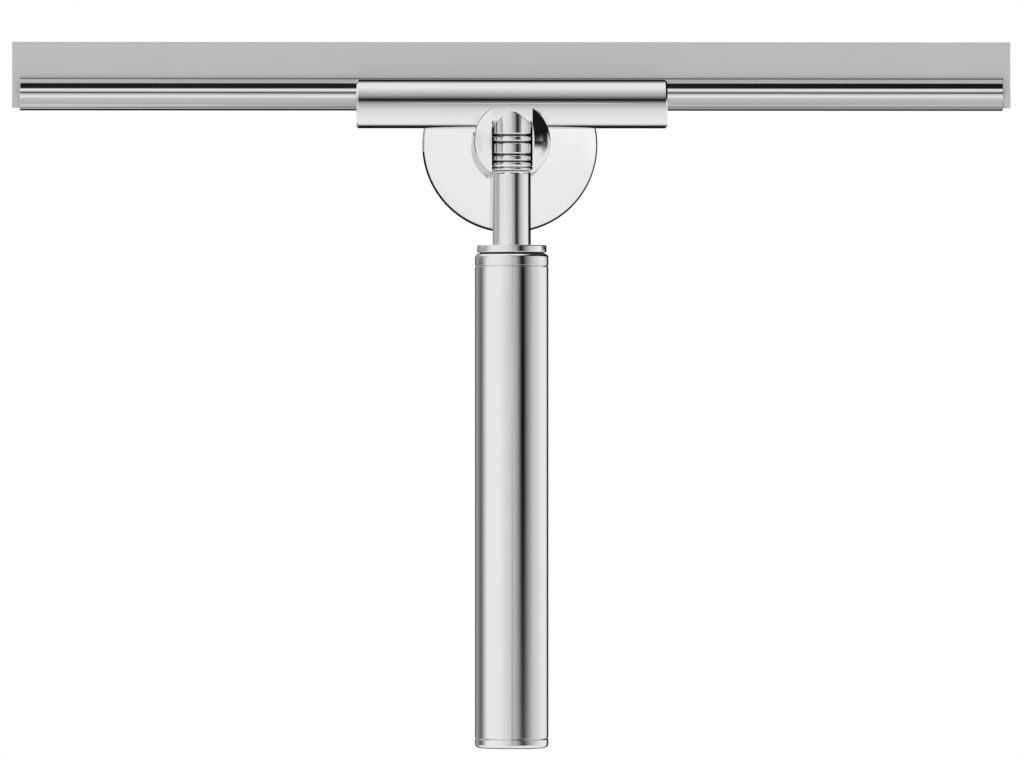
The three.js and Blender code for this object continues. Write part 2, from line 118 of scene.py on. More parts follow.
def pick(where, positive, negative):
    """One of two numbers or sockets by the sign of `where`."""
    mix = room.nodes.new("ShaderNodeMix")
    room.links.new(sum_node("GREATER_THAN", where, 0.0), mix.inputs[0])
    for socket, value in ((mix.inputs[2], negative), (mix.inputs[3], positive)):
        if isinstance(value, (int, float)):
            socket.default_value = value
        else:
            room.links.new(value, socket)
    return mix.outputs[0]


def eased(value, low, high, start=0.0, end=1.0):
    """From start to end, smoothly, as the value goes from low to high."""
    node = room.nodes.new("ShaderNodeMapRange")
    node.interpolation_type = "SMOOTHSTEP"
    for key, given in (("Value", value), ("From Min", low), ("From Max", high),
                       ("To Min", start), ("To Max", end)):
        if isinstance(given, (int, float)):
            node.inputs[key].default_value = given
        else:
            room.links.new(given, node.inputs[key])
    return node.outputs[0]


def blend(first, second, amount):
    """The first level, giving way to the second as the amount goes from 0 to 1."""
    return sum_node("ADD", sum_node("MULTIPLY", first, sum_node("SUBTRACT", 1.0, amount)),
                    sum_node("MULTIPLY", second, amount))


# Just over the horizon the side panels' edges stand nearer to the camera's side, and the left ones are paler.
HALF_TURN = 180
OVER_HORIZON = (0.0148, 0.0158)
EDGES_NEARER, PALER_SHARE = 1.22, 0.45
nearer = sum_node("MULTIPLY", away, eased(toward_z, *OVER_HORIZON, 1.0, EDGES_NEARER))
panels = {}
for side, stops in ROOM.items():
    ramp_node = room.nodes.new("ShaderNodeValToRGB")
    room.links.new(nearer if side in ("left", "right") else away, ramp_node.inputs[0])
    ramp = ramp_node.color_ramp
    while len(ramp.elements) < len(stops):
        ramp.elements.new(0.5)
    for element, (angle, level) in zip(ramp.elements, stops):
        element.position = angle / HALF_TURN
        element.color = (level, level, level, 1)
    panels[side] = ramp_node.outputs[0]

paler = eased(toward_z, *OVER_HORIZON, 0.0, PALER_SHARE)
beside = pick(toward_x, panels["right"], blend(panels["left"], PALE, paler))
above = pick(toward_z, panels["up"], panels["down"])
rise = sum_node("MULTIPLY", toward_z, toward_z)
whole = sum_node("ADD", sum_node("ADD", sum_node("MULTIPLY", toward_x, toward_x), rise), 1e-7)
steep = sum_node("SQRT", sum_node("DIVIDE", rise, whole))

# Between the level and the upright directions: a soft box on the left and at the lower right, a flag at the
# upper right. Steepness goes from 0, level, to 1, upright; each pair is where a change starts and ends.
CORNER_FLAG = (-0.22, 0.12)
CORNER_START, CORNER_END = (13 / HALF_TURN, 18 / HALF_TURN), (125 / HALF_TURN, 140 / HALF_TURN)
CORNER_RIGHT, CORNER_LEFT = (0.0, 0.3), (0.2, 0.4)
NEAR_RIGHT, NEAR_LEFT, FAR_UPRIGHT = (0.1, 0.75), (0.55, 0.98), (0.85, 0.97)


def steeper(right, left):
    """How far the steepness has come through its range, which differs on the right and the left."""
    return eased(steep, pick(toward_x, right[0], left[0]), pick(toward_x, right[1], left[1]))


corner_level = pick(toward_x, eased(toward_z, *CORNER_FLAG, SOFT_BOX, FLAG), SOFT_BOX)
aside = eased(away, *CORNER_START)
cornerwise = sum_node("MULTIPLY", steeper(CORNER_RIGHT, CORNER_LEFT),
                      sum_node("MULTIPLY", aside, eased(away, *CORNER_END, 1.0, 0.0)))
share = blend(steeper(NEAR_RIGHT, NEAR_LEFT), eased(steep, *FAR_UPRIGHT), aside)
room_level = blend(blend(beside, corner_level, cornerwise), above, share)

# A small white lamp beside the lens, which only a flat face turned to the lens can show.
LAMP = (0.0160, -0.9995, 0.0290)
LAMP_REACH, LAMP_EDGE = 0.0125, 0.003
LAMP_GRADE, LAMP_LEVELS = (0.005, 0.0125), (0.93, 1.16)  # it is brighter towards its upper right
offset = [sum_node("SUBTRACT", axis, at) for axis, at in zip((toward_x, toward_y, toward_z), LAMP)]
square_x, square_y, square_z = [sum_node("MULTIPLY", along, along) for along in offset]
apart = sum_node("SQRT", sum_node("ADD", sum_node("ADD", square_x, square_y), square_z))
in_lamp = eased(apart, LAMP_REACH, LAMP_REACH + LAMP_EDGE, 1.0, 0.0)
lamp_level = eased(sum_node("ADD", offset[0], offset[2]), *LAMP_GRADE, *LAMP_LEVELS)
lit = blend(room_level, lamp_level, in_lamp)

# The lighting plan is for reflections; the camera and matt surfaces see a plain white room.
path = room.nodes.new("ShaderNodeLightPath")
plain = sum_node("MAXIMUM", path.outputs["Is Camera Ray"], path.outputs["Is Diffuse Ray"])
strength = sum_node("ADD", plain, sum_node("MULTIPLY", lit, sum_node("SUBTRACT", 1.0, plain)))
glow = room.nodes.new("ShaderNodeBackground")
glow.inputs["Color"].default_value = (1, 1, 1, 1)
room.links.new(strength, glow.inputs["Strength"])
room_out = room.nodes.new("ShaderNodeOutputWorld")
room.links.new(glow.outputs[0], room_out.inputs["Surface"])

# ---------------------------------------------------------------------------
# Wall rosette: a cup turned from brass and chrome plated, its rim just off the
# wall and its front flat, with a hole in the middle for the post's spigot.
# ---------------------------------------------------------------------------


def span(node):
    """A CAD node's lowest and highest corner, in millimetres."""
    low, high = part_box(node)
    return np.array(low) / MM, np.array(high) / MM


def softened(corners, steps=5, least=0.04, rest=0.02):
    """Closed outline from rows of (a, b, radius): each corner becomes an arc of its radius, tangent to both
    sides, with a point `rest` past each end of the arc, so that the sides keep their own normals."""
    rows = np.array(corners, float)
    at, radius = rows[:, :2], np.maximum(rows[:, 2], least)
    into = at - np.roll(at, 1, 0)
    into /= np.linalg.norm(into, axis=1)[:, None]
    out = np.roll(into, -1, 0)
    turn = np.arctan2(into[:, 0] * out[:, 1] - into[:, 1] * out[:, 0], (into * out).sum(1))
    reach = radius * np.tan(np.abs(turn) / 2)
    inward = np.sign(turn)[:, None] * np.stack([-into[:, 1], into[:, 0]], 1)
    start = at - into * reach[:, None]
    angle = np.abs(turn)[:, None] * np.linspace(0, 1, steps + 1)[None]
    arc = start[:, None] + radius[:, None, None] * (
        np.sin(angle)[..., None] * into[:, None] + (1 - np.cos(angle))[..., None] * inward[:, None])
    before = (start - into * rest)[:, None]
    after = (at + out * reach[:, None] + out * rest)[:, None]
    return np.concatenate([before, arc, after], 1).reshape(-1, 2)


def anticlockwise(outline):
    """The outline, turned round if it runs clockwise."""
    a, b = outline.T
    return outline if (a * np.roll(b, -1) - np.roll(a, -1) * b).sum() > 0 else outline[::-1]


def mesh_piece(name, points, faces, sharp=40):
    """A new object from points in millimetres and faces, smooth but for edges over `sharp` degrees."""
    mesh = bpy.data.meshes.new(name)
    mesh.from_pydata((np.asarray(points) * MM).tolist(), [], faces)
    mesh.shade_smooth()
    mesh.set_sharp_from_angle(angle=math.radians(sharp))
    piece = bpy.data.objects.new(name, mesh)
    bpy.context.scene.collection.objects.link(piece)
    return piece


def quads(rows, columns, closed=True):
    """Faces of a grid of points kept row by row; columns close on themselves, and rows if `closed`."""
    i = np.arange(rows if closed else rows - 1)[:, None]
    j = np.arange(columns)[None]
    i2, j2 = (i + 1) % rows, (j + 1) % columns
    corners = (i * columns + j, i * columns + j2, i2 * columns + j2, i2 * columns + j)
    return np.stack(np.broadcast_arrays(*corners), -1).reshape(-1, 4).tolist()


def turned(name, outline, centre=(0, 0, 0), axis="z", segments=192):
    """Solid of revolution: outline points (r, h) swept round an axis through `centre`, each at
    (r cos t, r sin t, h). With axis y, h runs out from the wall into the room; with axis x, along the
    blade."""
    run = anticlockwise(outline)
    t = np.linspace(0, 2 * math.pi, segments, endpoint=False)
    r, h = np.maximum(run[:, :1], 0), run[:, 1:]
    a, b, c = r * np.cos(t), r * np.sin(t), h + 0 * t
    order = {"z": (a, b, c), "y": (a, -c, b), "x": (c, a, b)}[axis]
    points = np.stack(order, -1) + np.array(centre)
    piece = mesh_piece(name, points.reshape(-1, 3), quads(len(run), segments))
    if run[:, 0].min() <= 0:  # rows on the axis are one point each
        shell = bmesh.new()
        shell.from_mesh(piece.data)
        bmesh.ops.remove_doubles(shell, verts=shell.verts, dist=1e-7)
        shell.to_mesh(piece.data)
        shell.free()
    return piece


def chrome_plate(name, lines=(1, 1, 1), groove=None):
    """Polished chrome: nearly white metal whose gloss varies with faint wiping marks and polishing lines,
    stretched by `lines`, over a plate that is very slightly uneven. With `groove`, a (y, radius, radius)
    about an upright axis, the plate's colour darkens from the second radius down to the first: painted shade
    standing in for the shadow inside the grooves."""
    finish = bpy.data.materials.new(name)
    finish.use_nodes = True
    tree = finish.node_tree
    shader = tree.nodes["Principled BSDF"]
    shader.inputs["Metallic"].default_value = 1.0
    where = tree.nodes.new("ShaderNodeTexCoord").outputs["Object"]

    def cloud(scale, detail, stretch=(1, 1, 1)):
        spread = tree.nodes.new("ShaderNodeMapping")
        spread.inputs["Scale"].default_value = stretch
        tree.links.new(where, spread.inputs["Vector"])
        noise = tree.nodes.new("ShaderNodeTexNoise")
        noise.inputs["Scale"].default_value = scale
        noise.inputs["Detail"].default_value = detail
        tree.links.new(spread.outputs[0], noise.inputs["Vector"])
        return noise.outputs[0]

    def between(source, low, high, socket):
        scaled = tree.nodes.new("ShaderNodeMapRange")
        scaled.inputs["From Min"].default_value, scaled.inputs["From Max"].default_value = 0.3, 0.7
        scaled.inputs["To Min"].default_value, scaled.inputs["To Max"].default_value = low, high
        tree.links.new(source, scaled.inputs["Value"])
        if socket:
            tree.links.new(scaled.outputs[0], socket)
        return scaled.outputs[0]

    tone = tree.nodes.new("ShaderNodeValToRGB")
    tone.color_ramp.elements[0].position, tone.color_ramp.elements[1].position = 0.3, 0.7
    tone.color_ramp.elements[0].color = (0.885, 0.887, 0.89, 1)
    tone.color_ramp.elements[1].color = (0.915, 0.915, 0.915, 1)
    tree.links.new(cloud(35, 3), tone.inputs[0])
    # Painted shade: with `groove`, the base colour turns dark grey towards the groove floors, standing in for
    # their shadow.
    if groove:
        axis_y, shade_darkest_r, shade_free_r = groove
        apart = tree.nodes.new("ShaderNodeVectorMath")
        apart.operation = "LENGTH"
        flat = tree.nodes.new("ShaderNodeMapping")
        flat.inputs["Location"].default_value = (0, -axis_y * MM, 0)
        flat.inputs["Scale"].default_value = (1, 1, 0)
        tree.links.new(where, flat.inputs["Vector"])
        tree.links.new(flat.outputs[0], apart.inputs[0])
        groove_painted_shade = tree.nodes.new("ShaderNodeMix")
        groove_painted_shade.data_type = "RGBA"
        shade_fade = tree.nodes.new("ShaderNodeMapRange")
        shade_fade.inputs["From Min"].default_value = shade_darkest_r * MM
        shade_fade.inputs["From Max"].default_value = shade_free_r * MM
        tree.links.new(apart.outputs["Value"], shade_fade.inputs["Value"])
        tree.links.new(shade_fade.outputs[0], groove_painted_shade.inputs["Factor"])
        groove_painted_shade.inputs["A"].default_value = (0.12, 0.12, 0.12, 1)
        tree.links.new(tone.outputs[0], groove_painted_shade.inputs["B"])
        tree.links.new(groove_painted_shade.outputs["Result"], shader.inputs["Base Color"])
    else:
        tree.links.new(tone.outputs[0], shader.inputs["Base Color"])
    marks = sum_node("ADD", between(cloud(55, 4), 0.012, 0.034, None),
                     between(cloud(900, 2, lines), 0.0, 0.012, None), tree=tree)
    tree.links.new(marks, shader.inputs["Roughness"])
    bump = tree.nodes.new("ShaderNodeBump")
    bump.inputs["Strength"].default_value = 0.012
    bump.inputs["Distance"].default_value = 0.00003
    tree.links.new(cloud(260, 2), bump.inputs["Height"])
    tree.links.new(bump.outputs[0], shader.inputs["Normal"])
    return finish


def fit_piece(piece, body, slot, finish, *replaced):
    """Gives a finished piece its material and body, and hides the CAD nodes that it stands for; `slot`, the
    record slot, is not used.
    """
    piece.data.materials.clear()
    piece.data.materials.append(finish)
    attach(piece, body)
    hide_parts(*replaced)


chrome = chrome_plate("chrome_turned")
rosette_low, rosette_high = span("rosette")
ROSETTE_R, ROSETTE_FRONT = rosette_high[0], -rosette_low[1]
SPIGOT_HOLE_R, ROSETTE_RIM, ROSETTE_WALL, ROSETTE_DRAFT = 5.1, 3, 2.5, 0.6
rosette_back = ROSETTE_FRONT - ROSETTE_WALL
rosette = turned("rosette_cup", softened([
    (SPIGOT_HOLE_R, rosette_back, 0.1), (ROSETTE_R - ROSETTE_RIM, rosette_back, 0.3),
    (ROSETTE_R - ROSETTE_RIM, -rosette_high[1], 0.2), (ROSETTE_R, -rosette_high[1], 0.2),
    (ROSETTE_R - ROSETTE_DRAFT, ROSETTE_FRONT, 0.18), (SPIGOT_HOLE_R, ROSETTE_FRONT, 0.1)], steps=8),
    axis="y", segments=320)
fit_piece(rosette, "holder", "chrome", chrome, "rosette")

# ---------------------------------------------------------------------------
# Post: a round bar, its face slightly crowned and its edge rounded, cut with a
# saddle for the head bar, a bore for the sleeve and a slot that lets the neck in.
# ---------------------------------------------------------------------------
head_low, head_high = span("head_bar")
HEAD_R = (head_high[1] - head_low[1]) / 2
HEAD_Y = (head_high[1] + head_low[1]) / 2
HEAD_Z = head_low[2] + HEAD_R
sleeve_low, sleeve_high = span("neck_sleeve")
SLEEVE_R = sleeve_high[0]
_, post_high = span("post")
POST_R = post_high[0]
POST_CROWN = 54.2  # from the wall, before the slot is cut
POST_CROWN_R = 30
POST_BACK = 9.05
POST_TAPER = 1.5
POST_EDGE_R = 1.7
SADDLE_R = HEAD_R + 0.3
BORE_R = SLEEVE_R + 0.4
SLOT_HALF = 6.9
SLOT_BEVEL, BEVEL_SLOPE = 0.6, 0.58
PAD_ANGLE = 0.37


def crown(r):
    """Distance of the crowned face from the wall at radius r: a shallow sphere."""
    return POST_CROWN - POST_CROWN_R + np.sqrt(POST_CROWN_R ** 2 - r ** 2)


def prism(name, outline, low, high, axis="z"):
    """Outline points (a, b) drawn straight along an axis from low to high, with flat ends."""
    run = anticlockwise(np.array(outline, float))
    n = len(run)
    points = np.concatenate([np.column_stack([run, np.full(n, at)]) for at in (low, high)])
    if axis == "x":
        points = points[:, [2, 0, 1]]
    sides = quads(2, n, closed=False)
    return mesh_piece(name, points, sides + [tuple(range(n))[::-1], tuple(range(n, 2 * n))])


def carve(piece, cutters):
    """Takes the cutters out of the piece, and removes them."""
    for cutter in cutters:
        cutting = piece.modifiers.new("cut", "BOOLEAN")
        cutting.operation, cutting.solver, cutting.object = "DIFFERENCE", "EXACT", cutter
    bpy.context.view_layer.update()
    ready = piece.evaluated_get(bpy.context.evaluated_depsgraph_get())
    carved = bpy.data.meshes.new_from_object(ready)
    piece.modifiers.clear()
    piece.data = carved
    for cutter in cutters:
        bpy.data.objects.remove(cutter)


face_edge = POST_R - POST_EDGE_R
edge_turn = np.linspace(0, 1, 12)
crown_tilt = math.asin(face_edge / POST_CROWN_R)
edge_low = crown(face_edge) - POST_EDGE_R * math.cos(crown_tilt)  # where the edge meets the tapered wall
wall_tilt = math.atan(POST_TAPER / (edge_low - POST_BACK))
edge_angle = crown_tilt + (math.pi / 2 + wall_tilt - crown_tilt) * (1 - edge_turn)
edge_r = POST_R - POST_EDGE_R + POST_EDGE_R * np.sin(edge_angle)
edge_h = edge_low + POST_EDGE_R * np.cos(edge_angle)
back_r = edge_r[0] - (edge_h[0] - POST_BACK) * math.tan(wall_tilt)
face_r = np.linspace(face_edge, 0, 14)[1:]
post_outline = np.concatenate([
    [(0, -post_high[1]), (5, -post_high[1]), (5, POST_BACK), (back_r, POST_BACK)],
    np.stack([edge_r, edge_h], 1), np.stack([face_r, crown(face_r)], 1)])
post = turned("post_bar", post_outline, axis="y", segments=288)
tall = POST_R + 3  # half the length of every cutter, well past the post
ABOVE, BEFORE_POST = 5, -60  # height cleared over the saddle, and a place in front of the post
BEVEL_BEFORE, BEVEL_INTO = 1.2, 0.5  # how far the bevel's cutter stands past the face and into the slot
PAD_DEEP, PAD_CLEAR, PAD_INTO_BORE = 0.8, 1, 0.9  # how far a pad's channel reaches past the saddle


def round_cutter(name, radius, centre, axis):
    """A plain cylinder of that radius through `centre`, as long as every cutter."""
    outline = np.array([(0, -tall), (radius, -tall), (radius, tall), (0, tall)], float)
    return turned(name, outline, centre, axis, 288)


cutters = [
    round_cutter("saddle_cutter", SADDLE_R, (0, HEAD_Y, HEAD_Z), "x"),
    round_cutter("bore_cutter", BORE_R, (0, HEAD_Y, 0), "z"),
    prism("above_cutter", [
        (HEAD_Y - SADDLE_R, HEAD_Z), (HEAD_Y + SADDLE_R, HEAD_Z),
        (HEAD_Y + SADDLE_R, HEAD_Z + ABOVE), (HEAD_Y - SADDLE_R, HEAD_Z + ABOVE)], -tall, tall, "x"),
    prism("slot_cutter", [
        (-SLOT_HALF, BEFORE_POST), (SLOT_HALF, BEFORE_POST), (SLOT_HALF, HEAD_Y), (-SLOT_HALF, HEAD_Y)],
        -tall, tall),
]
bevel_front = -crown(SLOT_HALF + SLOT_BEVEL)
for side in (-1, 1):
    cutters.append(prism(f"bevel_cutter_{side}", [
        (side * (SLOT_HALF - BEVEL_INTO), bevel_front - BEVEL_BEFORE),
        (side * (SLOT_HALF + SLOT_BEVEL + BEVEL_BEFORE / BEVEL_SLOPE), bevel_front - BEVEL_BEFORE),
        (side * (SLOT_HALF - BEVEL_INTO), bevel_front + (SLOT_BEVEL + BEVEL_INTO) * BEVEL_SLOPE)],
        -tall, tall))
    arc = -math.pi / 2 + np.linspace(-PAD_ANGLE, PAD_ANGLE, 17)
    channel = [(HEAD_Y + r * np.cos(way), HEAD_Z + r * np.sin(way))
               for r, way in ((HEAD_R + PAD_DEEP, arc), (HEAD_R - PAD_CLEAR, arc[::-1]))]
    ends = sorted((side * (BORE_R - PAD_INTO_BORE), side * tall))
    cutters.append(prism(f"pad_cutter_{side}", np.concatenate([np.stack(c, 1) for c in channel]), *ends, "x"))
carve(post, cutters)


def true_normals(piece, surfaces):
    """Sets each face corner's normal from the surface that its face lies on: every surface is a function of
    points that gives their distance from it and its outward normal; other faces keep their flat normal."""
    mesh = piece.data
    points = np.empty(len(mesh.vertices) * 3)
    mesh.vertices.foreach_get("co", points)
    points = points.reshape(-1, 3) / MM
    corner_point = np.empty(len(mesh.loops), int)
    mesh.loops.foreach_get("vertex_index", corner_point)
    start, count = np.empty(len(mesh.polygons), int), np.empty(len(mesh.polygons), int)
    mesh.polygons.foreach_get("loop_start", start)
    mesh.polygons.foreach_get("loop_total", count)
    flat = np.empty(len(mesh.polygons) * 3)
    mesh.polygons.foreach_get("normal", flat)
    face = np.repeat(np.arange(len(count)), count)
    flat = flat.reshape(-1, 3)
    normal = flat[face]
    at = points[corner_point]
    taken = np.zeros(len(count), bool)
    for surface in surfaces:
        distance, outward = surface(at)
        worst = np.maximum.reduceat(np.abs(distance), start)
        facing = np.add.reduceat((outward * flat[face]).sum(1), start) / count
        on = (worst < 0.01) & (facing > 0.9) & ~taken
        taken |= on
        normal[on[face]] = outward[on[face]]
    mesh.shade_smooth()
    mesh.normals_split_custom_set(normal.tolist())


def round_wall(radius, centre, axis, inward=False):
    """A cylinder's wall as a surface for true_normals."""
    keep = np.array([0.0 if i == axis else 1.0 for i in range(3)])

    def surface(at):
        out = (at - np.array(centre)) * keep
        length = np.linalg.norm(out, axis=1)
        out = out / np.maximum(length, 1e-9)[:, None]
        return length - radius, -out if inward else out
    return surface


def crown_face(at):
    """The post's face: a shallow sphere whose centre lies behind it, on the post's axis."""
    out = at - np.array((0, POST_CROWN_R - POST_CROWN, 0))
    length = np.linalg.norm(out, axis=1)
    return length - POST_CROWN_R, out / length[:, None]


def tapered_wall(at):
    """The post's side: a cone that widens towards the room."""
    ring = at * np.array((1, 0, 1))
    length = np.linalg.norm(ring, axis=1)
    out = ring / np.maximum(length, 1e-9)[:, None] * math.cos(wall_tilt)
    out[:, 1] = math.sin(wall_tilt)
    return (length - back_r - (-at[:, 1] - POST_BACK) * math.tan(wall_tilt)) * math.cos(wall_tilt), out


def rounded_edge(at):
    """The rounding between the post's face and its side: part of a ring of round section."""
    ring = at * np.array((1, 0, 1))
    ring *= (face_edge / np.maximum(np.linalg.norm(ring, axis=1), 1e-9))[:, None]
    ring[:, 1] = -edge_low
    out = at - ring
    length = np.linalg.norm(out, axis=1)
    return length - POST_EDGE_R, out / np.maximum(length, 1e-9)[:, None]


true_normals(post, [round_wall(SADDLE_R, (0, HEAD_Y, HEAD_Z), 0, True),
                    round_wall(BORE_R, (0, HEAD_Y, 0), 2, True), tapered_wall, crown_face, rounded_edge])
fit_piece(post, "holder", "chrome", chrome, "post")

# ---------------------------------------------------------------------------
# Wiper rubber: one extruded strip of grey silicone, a thin square-edged wiping
# blade on a thick foot that is held in the rail; it slides out for changing.
# ---------------------------------------------------------------------------
rubber_low, rubber_high = span("wiper_rubber")
rail_low, rail_high = span("blade_rail")
RAIL_TOP = 8.6  # over the rail's own zero, which lies behind the head bar's axis
RAIL_Y, RAIL_Z = (rail_low[1] + rail_high[1]) / 2, rail_high[2] - RAIL_TOP
FOOT_HALF, BLADE_HALF = 2.2, 1.1


def mirrored(right):
    """Closed outline of (y, z, radius) rows from its right half, alike on both sides of y = 0."""
    return list(right) + [(-y, z, r) for y, z, r in reversed(right)]


def drawn(name, outline, low, high, end, centre=(0, 0), strip=False):
    """Outline points (y, z) carried along x from low to high. `end` rows (inset, setback) shape both ends:
    each ring is moved inwards by inset along the outline's own normals, at that setback from the end."""
    run = anticlockwise(outline)
    along = np.roll(run, -1, 0) - np.roll(run, 1, 0)
    out = np.stack([along[:, 1], -along[:, 0]], 1)
    out /= np.maximum(np.linalg.norm(out, axis=1), 1e-9)[:, None]
    inset, setback = np.array(end, float).T
    rings_x = np.concatenate([low + setback, (high - setback)[::-1]])
    rings_in = np.concatenate([inset, inset[::-1]])
    flat = run[None] - rings_in[:, None, None] * out[None] + np.array(centre)
    points = np.concatenate([np.broadcast_to(rings_x[:, None, None], flat.shape[:2] + (1,)), flat], -1)
    n, rings = len(run), len(rings_x)
    faces = quads(rings, n, closed=False)
    last = (rings - 1) * n
    if strip:  # a folded sheet's outline runs down one side and back up the other
        half = np.arange(n // 2 - 1)
        pairs = np.stack([half, half + 1, n - 2 - half, n - 1 - half], -1)
        faces += pairs[:, ::-1].tolist() + (pairs + last).tolist()
    else:
        faces += [tuple(range(n))[::-1], tuple(range(last, last + n))]
    return mesh_piece(name, points.reshape(-1, 3), faces)


CUT_END = [(0.12, 0), (0.03, 0.04), (0, 0.12), (0, 0.16)]  # a cut end with its edge just broken
rubber = drawn("wiper_blade", softened(mirrored([
    (FOOT_HALF, rubber_low[2] - RAIL_Z, 0.4), (FOOT_HALF, 2.9, 0.4), (BLADE_HALF, 4.1, 0.3),
    (BLADE_HALF, rubber_high[2] - RAIL_Z, 0.08)])), rubber_low[0], rubber_high[0],
    CUT_END, (RAIL_Y, RAIL_Z))


def matt_skin(name, colour, rough):
    """Moulded rubber or plastic: an even colour with soft clouding, and a fine grain in gloss and bump."""
    finish = bpy.data.materials.new(name)
    finish.use_nodes = True
    tree = finish.node_tree
    shader = tree.nodes["Principled BSDF"]
    shader.inputs["Specular IOR Level"].default_value = 0.3
    where = tree.nodes.new("ShaderNodeTexCoord").outputs["Object"]
    clouds = tree.nodes.new("ShaderNodeTexNoise")
    clouds.inputs["Scale"].default_value = 45
    clouds.inputs["Detail"].default_value = 5
    tree.links.new(where, clouds.inputs["Vector"])
    tone = tree.nodes.new("ShaderNodeValToRGB")
    tone.color_ramp.elements[0].position, tone.color_ramp.elements[1].position = 0.3, 0.7
    tone.color_ramp.elements[0].color = (*[c * 0.985 for c in colour], 1)
    tone.color_ramp.elements[1].color = (*[c * 1.015 for c in colour], 1)
    tree.links.new(clouds.outputs[0], tone.inputs[0])
    tree.links.new(tone.outputs[0], shader.inputs["Base Color"])
    grain = tree.nodes.new("ShaderNodeTexNoise")
    grain.inputs["Scale"].default_value = 2600
    grain.inputs["Detail"].default_value = 2
    tree.links.new(where, grain.inputs["Vector"])
    gloss = tree.nodes.new("ShaderNodeMapRange")
    gloss.inputs["To Min"].default_value, gloss.inputs["To Max"].default_value = rough - 0.08, rough + 0.08
    tree.links.new(grain.outputs[0], gloss.inputs["Value"])
    tree.links.new(gloss.outputs[0], shader.inputs["Roughness"])
    bump = tree.nodes.new("ShaderNodeBump")
    bump.inputs["Strength"].default_value = 0.15
    bump.inputs["Distance"].default_value = 0.00005
    tree.links.new(grain.outputs[0], bump.inputs["Height"])
    tree.links.new(bump.outputs[0], shader.inputs["Normal"])
    return finish


rubber.visible_glossy = False  # its reflection would hide the dark line along the head bar's top
fit_piece(rubber, "blade", "blade_rubber", matt_skin("blade_silicone", (0.535, 0.535, 0.54), 0.55),
          "wiper_rubber")

# ---------------------------------------------------------------------------
# Blade rail: stainless sheet rolled into a channel, with hemmed lips that grip
# the rubber, a waist under them and fuller sides round its foot; chrome plated.
# ---------------------------------------------------------------------------
LIP_HALF = BLADE_HALF + 0.2
RAIL_FLOOR = -2.5
SHOULDER_R, SHOULDER_Y, SHOULDER_Z = 1.92, 1.56, 3.13
shoulder_turn = np.radians(np.linspace(71, -31, 20))
shoulder = np.stack([SHOULDER_Y + SHOULDER_R * np.cos(shoulder_turn),
                     SHOULDER_Z + SHOULDER_R * np.sin(shoulder_turn)], 1)
SIDE_LOW, HOLLOW = -2.0, 1.6  # the side is hollow below the shoulder, and fuller again at its foot
side_z = np.linspace(shoulder[-1, 1] - 0.03, SIDE_LOW, 24)
curl = np.clip((side_z - HOLLOW) / (shoulder[-1, 1] - HOLLOW), 0, 1)
SIDE_IN, SIDE_CURVE, SLIMMEST_Z, CURL_OUT, CURL_POWER = 0.42, 0.0275, -1.15, 0.104, 2.65
side_y = (shoulder[-1, 0] - SIDE_IN + SIDE_CURVE * (side_z - SLIMMEST_Z) ** 2
          + CURL_OUT * curl ** CURL_POWER)
lip_out = LIP_HALF + 1.05
waist = shoulder[0] - np.array((0.015, 0))
per_corner = 8
outer_lip = softened([
    (waist[0] + 0.6, waist[1] - 0.2, 0.1), (*waist, 0.08), (waist[0] - 0.21, 6.8, 0.1),
    (lip_out - 0.05, 6.92, 0.1), (lip_out, 7.94, 4.6), (lip_out - 0.046, RAIL_TOP, 0.12),
    (LIP_HALF, RAIL_TOP, 0.2), (LIP_HALF - 3, RAIL_TOP, 0.1)])
lip_curve = outer_lip[per_corner:7 * per_corner]  # from the waist up and over to the lip's inner edge
FOOT_SLOPE = 1.12  # the foot turns in under the rail
foot_y = side_y[-1]
floor_curve = np.array([
    (foot_y - 0.01, SIDE_LOW - 0.02), (foot_y - 0.06, SIDE_LOW - 0.045), (foot_y - 0.12, SIDE_LOW - 0.07),
    (foot_y - FOOT_SLOPE + 0.05, RAIL_FLOOR + 0.025), (foot_y - FOOT_SLOPE - 0.02, RAIL_FLOOR),
    (foot_y - FOOT_SLOPE - 0.1, RAIL_FLOOR)])
outside = np.concatenate([lip_curve[::-1], shoulder, np.stack([side_y, side_z], 1), floor_curve])
inside = np.array([(LIP_HALF, RAIL_TOP - 0.25), (LIP_HALF, 4.42), (LIP_HALF + 0.05, 4.33), (2.35, 2.97),
                   (2.4, 2.9), (2.4, -1.5), (2.33, -1.68), (2.1, -1.8)])


def resampled(line, count):
    """The same line as `count` points at even steps along it."""
    step = np.concatenate([[0], np.cumsum(np.linalg.norm(np.diff(line, axis=0), axis=1))])
    at = np.linspace(0, step[-1], count)
    return np.stack([np.interp(at, step, line[:, k]) for k in (0, 1)], 1)


within = resampled(inside, len(outside))
mirror = np.array((-1, 1))
outer_side = np.concatenate([outside, (outside * mirror)[::-1]])
inner_side = np.concatenate([within, (within * mirror)[::-1]])
rail = drawn("rail_channel", np.concatenate([outer_side, inner_side[::-1]]), rail_low[0], rail_high[0],
             CUT_END, (RAIL_Y, RAIL_Z), strip=True)
rail.visible_glossy = False  # its lips' reflection would hide the dark line along the head bar's top
fit_piece(rail, "squeegee", "chrome", chrome_plate("chrome_drawn", (0.02, 1, 1)), "blade_rail")

